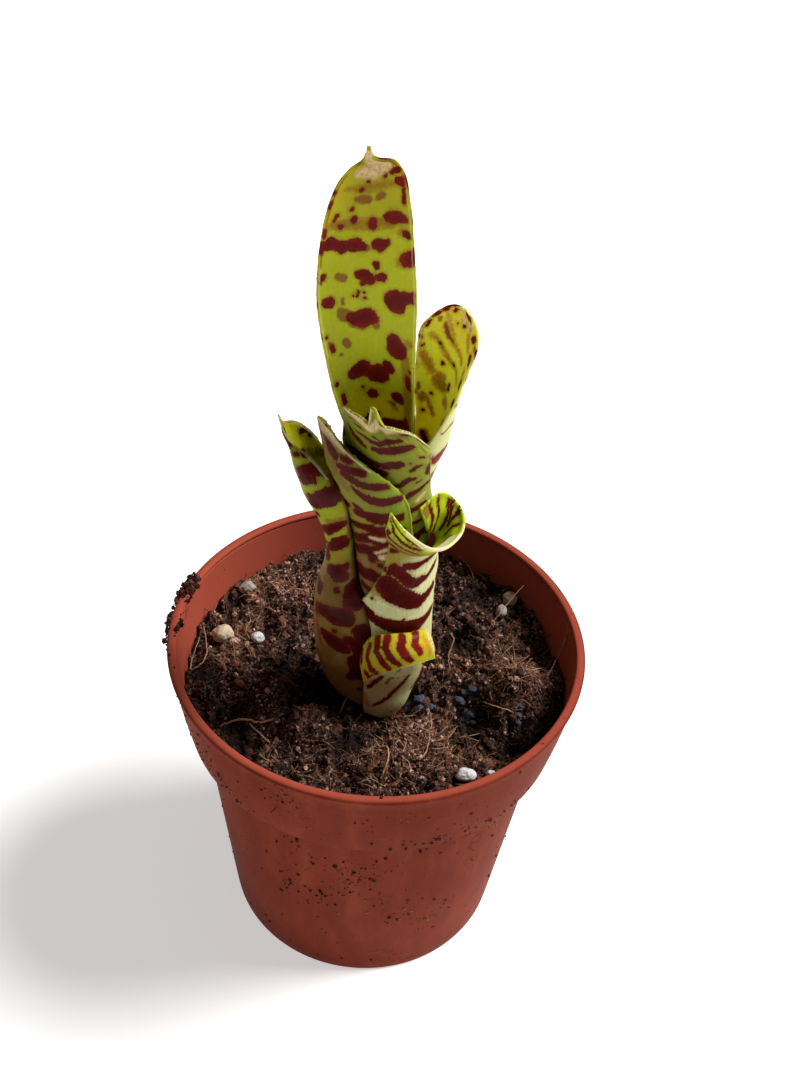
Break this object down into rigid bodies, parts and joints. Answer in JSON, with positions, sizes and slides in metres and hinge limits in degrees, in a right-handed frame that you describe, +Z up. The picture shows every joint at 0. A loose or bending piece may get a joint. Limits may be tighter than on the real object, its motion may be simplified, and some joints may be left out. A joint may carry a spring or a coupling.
{
  "type": "potted banded bromeliad (neoregelia zotica)",
  "caption": "Young bromeliad with stiff maroon-banded green leaves wrapped round one another, standing in peaty soil in a tapered nursery pot with a deep collar.",
  "frame": {"origin": "on the surface, at the middle of the pot's base ring", "axes": "+Z up along the pot's axis; +X right and +Y away in the picture's view, which looks along +Y"},
  "size_m": [0.105, 0.105, 0.2206],
  "materials": {
    "pot": "satin terracotta-coloured polypropylene",
    "soil": "loose, crumbly, dark brown",
    "stem": "pale, smooth",
    "leaf": "waxy yellow-green with dark red bands",
    "perlite": "rough, chalky"
  },
  "bodies": {
    "root": {"pot": "pot", "soil": "soil", "stem": "stem", "leaf_1_tall": "leaf", "leaf_2_right": "leaf", "leaf_3_front": "leaf", "leaf_4_folded": "leaf", "leaf_5_swollen": "leaf", "leaf_6_cupped": "leaf", "leaf_7_foot": "leaf", "perlite_1": "perlite", "perlite_2": "perlite", "perlite_3": "perlite", "perlite_4": "perlite", "perlite_5": "perlite", "perlite_6": "perlite", "perlite_7": "perlite"}
  },
  "joints": []
}
